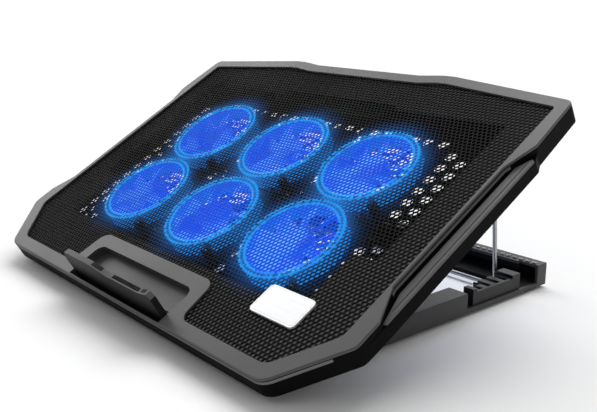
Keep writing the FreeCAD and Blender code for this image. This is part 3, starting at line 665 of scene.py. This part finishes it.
# ---- the perforated sheet ------------------------------------------------------
def perforated_half(name, first_row, pairs):
    """Half of the sheet: one six-sided cell, opened, repeated and cut to the outline."""
    sizes = bpy.context.scene.pad_sizes
    pitch = sizes.hole_pitch
    row = pitch * math.sqrt(0.75)
    columns = 112
    deselect()
    bpy.ops.mesh.primitive_circle_add(
        vertices=6, radius=pitch / math.sqrt(3), fill_type="NGON",
        location=(-columns / 2 * pitch, 9.5 * MM + first_row * row, 0))
    sheet = named(name)
    settle(sheet)
    shape(sheet)
    pick_all()
    bpy.ops.mesh.inset(thickness=(pitch - sizes.hole_width) / 2, depth=0)
    bpy.ops.mesh.delete(type="FACE")
    pick_all()
    bpy.ops.mesh.duplicate()
    bpy.ops.transform.translate(value=(pitch / 2, row, 0))
    pick_all()
    bpy.ops.mesh.remove_doubles(threshold=0.01 * MM)
    done()
    for across, count in (((pitch, 0, 0), columns), ((0, 2 * row, 0), pairs)):
        apply(sheet, "ARRAY", use_relative_offset=False, use_constant_offset=True,
              constant_offset_displace=across, count=count, use_merge_vertices=True,
              merge_threshold=0.01 * MM)
    solid = frame["nodes"]["mesh_sheet"].data
    plate = BVHTree.FromPolygons([DECK.inverted() @ v.co for v in solid.vertices],
                                 [p.vertices[:] for p in solid.polygons])
    down = Vector((0, 0, -1))
    shape(sheet, "VERT")
    outside = pick(sheet, lambda v: plate.ray_cast(v.co + Vector((0, 0, 1)), down)[0] is None, "verts")
    if not outside:
        raise RuntimeError("the sheet's outline cut nothing")
    bpy.ops.mesh.delete(type="VERT")
    done()
    apply(sheet, "SOLIDIFY", thickness=sizes.sheet_thickness, offset=-1.0)
    sheet.location = (0, 0, SHEET_TOP)
    to_deck(sheet)
    return sheet


# ---- fans ------------------------------------------------------------------------
def fan_blade():
    """One blade, drawn as a grid and twisted station by station."""
    root, tip, stations = 12.6 * MM, 31.2 * MM, 6
    deselect()
    bpy.ops.mesh.primitive_grid_add(x_subdivisions=stations, y_subdivisions=5, size=1.0)
    blade = named("blade")
    blade.scale = (tip - root, 9.4 * MM, 1)
    blade.location = ((root + tip) / 2, 0, 0)
    settle(blade)
    shape(blade, "VERT")
    for i in range(stations + 1):
        x = root + (tip - root) * i / stations
        along = i / stations
        pick(blade, lambda v: abs(v.co.x - x) < 0.2 * MM and abs(v.co.z) < 0.001 * MM, "verts")
        bpy.ops.transform.resize(value=(1, 1 + 0.62 * along, 1), center_override=(x, 0, 0))
        bpy.ops.transform.rotate(value=math.radians(34 - 12 * along), orient_axis="X",
                                 center_override=(x, 0, 0))
    done()
    apply(blade, "SOLIDIFY", thickness=0.9 * MM, offset=0.0)
    apply(blade, "BEVEL", width=0.2 * MM, segments=1, limit_method="ANGLE",
          angle_limit=math.radians(50))
    return blade


def fan_hub():
    """Cup of the rotor with a rounded rim and a shallow round seat on top."""
    deselect()
    bpy.ops.mesh.primitive_cylinder_add(vertices=40, radius=13.5 * MM, depth=6.2 * MM,
                                        location=(0, 0, -0.3 * MM))
    hub = named("hub")
    settle(hub)
    shape(hub)
    if not pick(hub, lambda f: f.normal.z > 0.9):
        raise RuntimeError("the hub has no top")
    bpy.ops.mesh.inset(thickness=1.8 * MM, depth=0)
    bpy.ops.mesh.inset(thickness=0.3 * MM, depth=-0.5 * MM)
    pick(hub, lambda f: f.normal.z < -0.9)
    bpy.ops.mesh.inset(thickness=1.2 * MM, depth=-4.6 * MM)
    done()
    soften(hub, 0.35 * MM)
    return hub


def rotors():
    """Models one rotor and copies it to the six fans."""
    count = bpy.context.scene.pad_sizes.blades
    blade = fan_blade()
    pieces = [fan_hub(), blade]
    for i in range(1, count):
        turned = copied(blade, "blade_%d" % i)
        bpy.ops.transform.rotate(value=math.tau * i / count, orient_axis="Z",
                                 center_override=(0, 0, 0))
        settle(turned)
        pieces.append(turned)
    master = joined(pieces, "rotor_master")
    bpy.ops.object.shade_smooth_by_angle(angle=math.radians(40))
    made = []
    for number, middle in zip(FANS, FAN_MIDDLES):
        rotor = copied(master, "fan_rotor_%d" % number)
        rotor.rotation_euler = (0, 0, math.radians(11.0 * number))
        rotor.location = middle
        to_deck(rotor)
        hand_over(rotor, "blade", "rotor_body_%d" % number, "rotor_blue", "rotor_%d" % number)
        made.append(rotor)
    bpy.data.objects.remove(master)
    return made


def light_rings():
    """Rounded light guide round each fan."""
    for number, middle in zip(FANS, FAN_MIDDLES):
        deselect()
        bpy.ops.mesh.primitive_cylinder_add(
            vertices=72, radius=RING_RADIUS, depth=6.4 * MM, end_fill_type="NOTHING",
            location=(middle.x, middle.y, -5.8 * MM))
        ring = named("light_ring_%d" % number)
        settle(ring)
        apply(ring, "SOLIDIFY", thickness=2.4 * MM, offset=-1.0)
        soften(ring, 0.7 * MM, 3)
        to_deck(ring)
        hand_over(ring, "ring", "deck", "ring_light", "led_ring_%d" % number)


# ---- wire stay ---------------------------------------------------------------------
def wire_stay():
    """Bent wire: half is extruded and spun from the middle of its foot, then mirrored."""
    low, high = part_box("stay_wire")
    radius = bpy.context.scene.pad_sizes.wire_radius
    pivot = Vector(JOINTS["stay_fold"]["pos_m"])
    foot = Vector((0, high.y - radius, low.z + radius))
    reach = high.x - radius
    length = (pivot - foot).length
    bend, hook_bend, hook = 6.0 * MM, 3.0 * MM, 8.0 * MM
    deselect()
    bpy.ops.mesh.primitive_circle_add(vertices=16, radius=radius, fill_type="NOTHING",
                                      location=(0, 0, 0), rotation=(0, math.pi / 2, 0))
    wire = named("stay_wire_bent")
    settle(wire)
    shape(wire, "EDGE")
    pick_all()
    bpy.ops.mesh.extrude_region_move(TRANSFORM_OT_translate={"value": (reach - bend, 0, 0)})
    bpy.ops.mesh.spin(steps=8, angle=math.pi / 2, center=(reach - bend, 0, bend), axis=(0, 1, 0))
    bpy.ops.mesh.extrude_region_move(
        TRANSFORM_OT_translate={"value": (0, 0, length - bend - hook_bend)})
    bpy.ops.mesh.spin(steps=6, angle=math.pi / 2,
                      center=(reach - hook_bend, 0, length - hook_bend), axis=(0, 1, 0))
    bpy.ops.mesh.extrude_region_move(
        TRANSFORM_OT_translate={"value": (-(hook - hook_bend), 0, 0)})
    bpy.ops.mesh.edge_face_add()
    done()
    apply(wire, "MIRROR", use_axis=(True, False, False), use_mirror_merge=True,
          merge_threshold=0.01 * MM)
    shape(wire)
    pick_all()
    bpy.ops.mesh.remove_doubles(threshold=0.005 * MM)
    bpy.ops.mesh.normals_make_consistent(inside=False)
    done()
    lean = math.atan2(pivot.y - foot.y, pivot.z - foot.z)
    wire.matrix_world = Matrix.Translation(foot) @ Matrix.Rotation(-lean, 4, "X")
    settle(wire)
    bpy.ops.object.shade_smooth_by_angle(angle=math.radians(45))
    hand_over(wire, "steel", "stay", "steel", "stay_wire")


# ---- small pieces ----------------------------------------------------------------------
def name_plate():
    """Blank plate with rounded corners and a fine sunken line along its border."""
    deselect()
    bpy.ops.mesh.primitive_cube_add(size=1.0, location=(*PLATE_MIDDLE, -0.9 * MM))
    plate = named("blank_plate")
    plate.scale = PLATE_SIZE
    settle(plate)
    shape(plate, "EDGE")
    pick(plate, lambda e: abs((e.verts[0].co - e.verts[1].co).z) > 1.0 * MM, "edges")
    bpy.ops.mesh.bevel(offset=3.4 * MM, segments=6, affect="EDGES")
    bpy.ops.mesh.select_mode(type="FACE")
    pick(plate, lambda f: f.normal.z > 0.9)
    bpy.ops.mesh.inset(thickness=1.0 * MM, depth=0)
    bpy.ops.mesh.inset(thickness=0.22 * MM, depth=-0.16 * MM)
    bpy.ops.mesh.inset(thickness=0.22 * MM, depth=0.16 * MM)
    done()
    soften(plate, 0.12 * MM)
    to_deck(plate)
    hand_over(plate, "plate", "deck", "plate_metal", "badge_plate")


def screw_master(head_radius, head_height, shank_radius, shank_length):
    """Screw with a domed cross-cut head and its shank, head upward from z = 0."""
    deselect()
    bpy.ops.mesh.primitive_cylinder_add(vertices=20, radius=head_radius, depth=head_height,
                                        location=(0, 0, head_height / 2))
    screw = named("screw")
    settle(screw)
    shape(screw)
    pick(screw, lambda f: f.normal.z < -0.9)
    bpy.ops.mesh.inset(thickness=head_radius - shank_radius, depth=0)
    bpy.ops.mesh.extrude_region_move(TRANSFORM_OT_translate={"value": (0, 0, -shank_length)})
    done()
    soften(screw, head_height * 0.3)
    for turn in (0.0, math.pi / 2):
        deselect()
        bpy.ops.mesh.primitive_cube_add(size=1.0, location=(0, 0, head_height),
                                        rotation=(0, 0, turn + 0.3))
        slot = named("slot")
        slot.scale = (head_radius * 1.2, head_radius * 0.28, head_height * 0.9)
        settle(slot)
        apply(screw, "BOOLEAN", object=slot, operation="DIFFERENCE", solver="EXACT")
        bpy.data.objects.remove(slot)
    return screw


def screw_set(name, node, places, master):
    """Copies the master screw to its places on the deck."""
    pieces = []
    for x, y, z, upside in places:
        screw = copied(master, "screw_copy")
        screw.rotation_euler = (math.pi if upside else 0, 0, x * 90)
        screw.location = (x, y, z)
        settle(screw)
        pieces.append(screw)
    bpy.data.objects.remove(master)
    whole = joined(pieces, name)
    to_deck(whole)
    hand_over(whole, "steel", "deck", "steel", node)


def fan_screws():
    places = [(m.x + sx * SCREW_OFFSET, m.y + sy * SCREW_OFFSET, -3.2 * MM, False)
              for m in FAN_MIDDLES for sx in (-1, 1) for sy in (-1, 1)]
    screw_set("fan_screw_set", "fan_screws", places,
              screw_master(2.4 * MM, 0.6 * MM, 1.5 * MM, 9.0 * MM))


def shell_screws():
    places = [(side * x * MM, y * MM, -14.0 * MM, True)
              for x, y in ((150, 24), (176, 120), (176, 240), (60, 246)) for side in (-1, 1)]
    screw_set("shell_screw_set", "shell_screws", places,
              screw_master(2.8 * MM, 0.8 * MM, 1.4 * MM, 1.2 * MM))


def grip_rims():
    """Bright rims of the small oval slots along the rear bar."""
    pitch, count = 5.6 * MM, 53
    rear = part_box("base_frame")[1]
    deselect()
    bpy.ops.mesh.primitive_circle_add(
        vertices=12, radius=1.0 * MM, fill_type="NGON",
        location=(-(count - 1) / 2 * pitch, rear.y - 9.3 * MM, rear.z - 0.12 * MM))
    rim = named("grip_slot_rims")
    rim.scale = (1.9, 1.0, 1.0)
    settle(rim)
    shape(rim)
    pick_all()
    bpy.ops.mesh.inset(thickness=0.32 * MM, depth=0)
    bpy.ops.mesh.delete(type="FACE")
    done()
    apply(rim, "SOLIDIFY", thickness=0.5 * MM, offset=-1.0)
    apply(rim, "ARRAY", use_relative_offset=False, use_constant_offset=True,
          constant_offset_displace=(pitch, 0, 0), count=count)
    settle(rim)
    hand_over(rim, "plated", "base", "grey_plastic")


def rubber_feet():
    """Four pads with a chamfered rim and a shallow recess underneath."""
    low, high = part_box("base_feet")
    width, depth, height = FOOT_SIZE
    pieces = []
    for x in (low.x + width / 2, high.x - width / 2):
        for y in (low.y + depth / 2, high.y - depth / 2):
            deselect()
            bpy.ops.mesh.primitive_cube_add(size=1.0, location=(x, y, height / 2))
            foot = named("foot")
            foot.scale = FOOT_SIZE
            settle(foot)
            shape(foot, "EDGE")
            pick(foot, lambda e: abs((e.verts[0].co - e.verts[1].co).z) > 1.5 * MM, "edges")
            bpy.ops.mesh.bevel(offset=3 * MM, segments=5, affect="EDGES")
            bpy.ops.mesh.select_mode(type="FACE")
            pick(foot, lambda f: f.normal.z < -0.9)
            bpy.ops.mesh.inset(thickness=1.4 * MM, depth=0)
            bpy.ops.mesh.inset(thickness=0.4 * MM, depth=-0.4 * MM)
            done()
            soften(foot, 0.25 * MM)
            pieces.append(foot)
    feet = joined(pieces, "rubber_feet")
    settle(feet)
    hand_over(feet, "rubber", "base", "rubber", "base_feet")


def socket_contacts():
    """Four gilded contacts under the tongue of each USB socket."""
    pieces = []
    for socket_x in SOCKET_MIDDLES:
        for i in range(4):
            deselect()
            x = socket_x + (i - 1.5) * 2.4 * MM
            bpy.ops.mesh.primitive_cube_add(size=1.0, location=(x, 263.2 * MM, -7.35 * MM))
            strip = named("strip")
            strip.scale = (1.1 * MM, 9.0 * MM, 0.14 * MM)
            settle(strip)
            shape(strip, "EDGE")
            pick(strip, lambda e: e.verts[0].co.y > 267 * MM and e.verts[1].co.y > 267 * MM, "edges")
            bpy.ops.mesh.bevel(offset=0.04 * MM, segments=1, affect="EDGES")
            done()
            pieces.append(strip)
    strips = joined(pieces, "socket_contacts")
    to_deck(strips)
    hand_over(strips, "gold", "deck", "socket_metal")


# ---- operators ------------------------------------------------------------------------------
class PadOperator:
    """What every button of the panel shares."""
    bl_options = {"REGISTER", "UNDO"}


class PAD_OT_sheet(PadOperator, bpy.types.Operator):
    """Models the perforated sheet in two halves"""
    bl_idname = "cooling_pad.sheet"
    bl_label = "Perforated Sheet"

    def execute(self, context):
        for name, first_row, pairs in (("sheet_front", 0, 22), ("sheet_rear", 44, 22)):
            hand_over(perforated_half(name, first_row, pairs), "sheet", "deck", "mesh_metal",
                      "mesh_sheet")
        return {"FINISHED"}


class PAD_OT_deck(PadOperator, bpy.types.Operator):
    """Refines the bezel, shell, rails and stopper recess"""
    bl_idname = "cooling_pad.deck"
    bl_label = "Deck Mouldings"

    def execute(self, context):
        soft = context.scene.pad_sizes.soft_edge
        for node, name, finish, slot, width in (
                ("top_bezel", "bezel_frame", "bezel", "black_plastic", soft * 0.6),
                ("bottom_shell", "deck_shell", "shell", "shell_plastic", soft * 0.5),
                ("side_rail_right", "grip_rail_right", "bezel", "black_plastic", soft * 0.5),
                ("side_rail_left", "grip_rail_left", "bezel", "black_plastic", soft * 0.5),
                ("recess_tray", "stopper_recess", "bezel", "shell_plastic", soft * 0.5),
                ("stay_clips", "stay_saddles", "rack", "shell_plastic", soft * 0.7)):
            clamp = node == "bottom_shell"
            hand_over(refined(node, name, width, clamp), finish, "deck", slot, node)
        return {"FINISHED"}


class PAD_OT_stopper(PadOperator, bpy.types.Operator):
    """Refines the fold-up stopper and its rubber pads"""
    bl_idname = "cooling_pad.stopper"
    bl_label = "Stopper"

    def execute(self, context):
        soft = context.scene.pad_sizes.soft_edge
        hand_over(refined("stopper_flap", "stopper_bar", soft), "stopper", "stopper",
                  "black_plastic", "stopper_flap")
        hand_over(refined("stopper_pads", "stopper_grips", soft * 0.7), "rubber", "stopper",
                  "rubber", "stopper_pads")
        return {"FINISHED"}


class PAD_OT_fans(PadOperator, bpy.types.Operator):
    """Models the rotors and light rings and refines the fan frames"""
    bl_idname = "cooling_pad.fans"
    bl_label = "Fans"

    def execute(self, context):
        rotors()
        light_rings()
        for number in FANS:
            node = "fan_frame_%d" % number
            hand_over(refined(node, "fan_housing_%d" % number, 0.25 * MM), "fan", "deck",
                      "shell_plastic", node)
        return {"FINISHED"}


class PAD_OT_plate(PadOperator, bpy.types.Operator):
    """Models the blank name plate"""
    bl_idname = "cooling_pad.plate"
    bl_label = "Name Plate"

    def execute(self, context):
        name_plate()
        return {"FINISHED"}


class PAD_OT_controls(PadOperator, bpy.types.Operator):
    """Refines the sockets, dial and button and adds the socket contacts"""
    bl_idname = "cooling_pad.controls"
    bl_label = "Sockets and Controls"

    def execute(self, context):
        soft = context.scene.pad_sizes.soft_edge
        for node, name, finish, body, slot in (
                ("usb_socket_left", "socket_shell_left", "plated", "deck", "socket_metal"),
                ("usb_socket_right", "socket_shell_right", "plated", "deck", "socket_metal"),
                ("speed_dial", "speed_wheel", "rack", "dial", "rack_plastic"),
                ("light_button", "light_switch_cap", "rack", "button", "rack_plastic")):
            hand_over(refined(node, name, soft * 0.4), finish, body, slot, node)
        socket_contacts()
        return {"FINISHED"}


class PAD_OT_stay(PadOperator, bpy.types.Operator):
    """Bends the wire stay"""
    bl_idname = "cooling_pad.stay"
    bl_label = "Wire Stay"

    def execute(self, context):
        wire_stay()
        return {"FINISHED"}


class PAD_OT_base(PadOperator, bpy.types.Operator):
    """Refines the base frame and racks and models the feet and slot rims"""
    bl_idname = "cooling_pad.base"
    bl_label = "Base Frame"

    def execute(self, context):
        soft = context.scene.pad_sizes.soft_edge
        hand_over(refined("base_frame", "base_moulding", soft), "base", "base",
                  "grey_plastic", "base_frame")
        for side in ("right", "left"):
            node = "notch_rack_" + side
            hand_over(refined(node, "stay_rack_" + side, soft), "rack", "base",
                      "rack_plastic", node)
        grip_rims()
        rubber_feet()
        return {"FINISHED"}


class PAD_OT_screws(PadOperator, bpy.types.Operator):
    """Models the screws and copies them to their places"""
    bl_idname = "cooling_pad.screws"
    bl_label = "Screws"

    def execute(self, context):
        fan_screws()
        shell_screws()
        return {"FINISHED"}


class PAD_OT_inner_pieces(PadOperator, bpy.types.Operator):
    """Gives the board, leads and pins their finishes"""
    bl_idname = "cooling_pad.inner_pieces"
    bl_label = "Board, Leads and Pins"

    def execute(self, context):
        for node, finish in (("control_board", "board"), ("fan_leads", "lead"),
                             ("dial_post", "rack"), ("hinge_pins", "steel"),
                             ("stopper_pins", "steel")):
            mesh = frame["nodes"][node].data
            mesh.materials.clear()
            mesh.materials.append(material(finish))
        return {"FINISHED"}


class PAD_OT_stage(PadOperator, bpy.types.Operator):
    """Sets the pale floor, the soft light and the camera"""
    bl_idname = "cooling_pad.stage"
    bl_label = "Stage"

    def execute(self, context):
        scene = context.scene
        scene.view_settings.view_transform = "Standard"
        world = bpy.data.worlds.new("Studio")
        world.use_nodes = True
        world.node_tree.nodes["Background"].inputs[0].default_value = (1.0, 1.0, 1.0, 1)
        world.node_tree.nodes["Background"].inputs[1].default_value = 0.46
        scene.world = world
        deselect()
        bpy.ops.mesh.primitive_plane_add(size=80.0, location=(0, 0, 0))
        floor = named("floor")
        finish = Finish("Pale Floor", Specular_IOR_Level=0.0)
        finish.shader.inputs["Base Color"].default_value = (0.93, 0.93, 0.93, 1)
        finish.shader.inputs["Roughness"].default_value = 0.9
        floor.data.materials.append(finish.material)
        for name, place, spread, power in (
                ("high_light", (-0.25, 0.55, 0.85), 50.0, 2.1),
                ("left_light", (-0.95, 0.15, 0.5), 40.0, 0.75)):
            deselect()
            bpy.ops.object.light_add(type="SUN", location=place)
            lamp = bpy.context.object
            lamp.name = name
            lamp.data.angle = math.radians(spread)
            lamp.data.energy = power
            lamp.rotation_euler = (-Vector(place)).to_track_quat("-Z", "Y").to_euler()
        azimuth, elevation = math.radians(CAMERA_AZIMUTH), math.radians(CAMERA_ELEVATION)
        ahead = Vector((-math.sin(azimuth) * math.cos(elevation),
                        math.cos(azimuth) * math.cos(elevation), -math.sin(elevation)))
        bpy.ops.object.camera_add(location=CAMERA_PLACE)
        camera = bpy.context.object
        camera.rotation_euler = ahead.to_track_quat("-Z", "Y").to_euler()
        camera.data.lens = 49.92
        camera.data.sensor_width = 36.0
        camera.data.clip_start = 0.01
        camera.data.clip_end = 200.0
        scene.camera = camera
        return {"FINISHED"}


STEPS = (PAD_OT_sheet, PAD_OT_deck, PAD_OT_stopper, PAD_OT_fans, PAD_OT_plate, PAD_OT_controls,
         PAD_OT_stay, PAD_OT_base, PAD_OT_screws, PAD_OT_inner_pieces, PAD_OT_stage)


class PAD_PT_panel(bpy.types.Panel):
    """Sidebar panel with the sizes, colours and steps"""
    bl_idname = "PAD_PT_panel"
    bl_label = "Laptop Cooling Pad"
    bl_space_type = "VIEW_3D"
    bl_region_type = "UI"
    bl_category = "Cooling Pad"

    def draw(self, context):
        for group in (context.scene.pad_sizes, context.scene.pad_colours):
            box = self.layout.box()
            for key in group.__annotations__:
                box.prop(group, key)
        for step in STEPS:
            self.layout.operator(step.bl_idname)


CLASSES = (PadSizes, PadColours) + STEPS + (PAD_PT_panel,)


def register():
    for one in CLASSES:
        bpy.utils.register_class(one)
    bpy.types.Scene.pad_sizes = bpy.props.PointerProperty(type=PadSizes)
    bpy.types.Scene.pad_colours = bpy.props.PointerProperty(type=PadColours)


def unregister():
    del bpy.types.Scene.pad_colours
    del bpy.types.Scene.pad_sizes
    for one in reversed(CLASSES):
        bpy.utils.unregister_class(one)


def main():
    register()
    for step in STEPS:
        area, word = step.bl_idname.split(".")
        getattr(getattr(bpy.ops, area), word)()
    deselect()


if __name__ == "__main__":
    main()
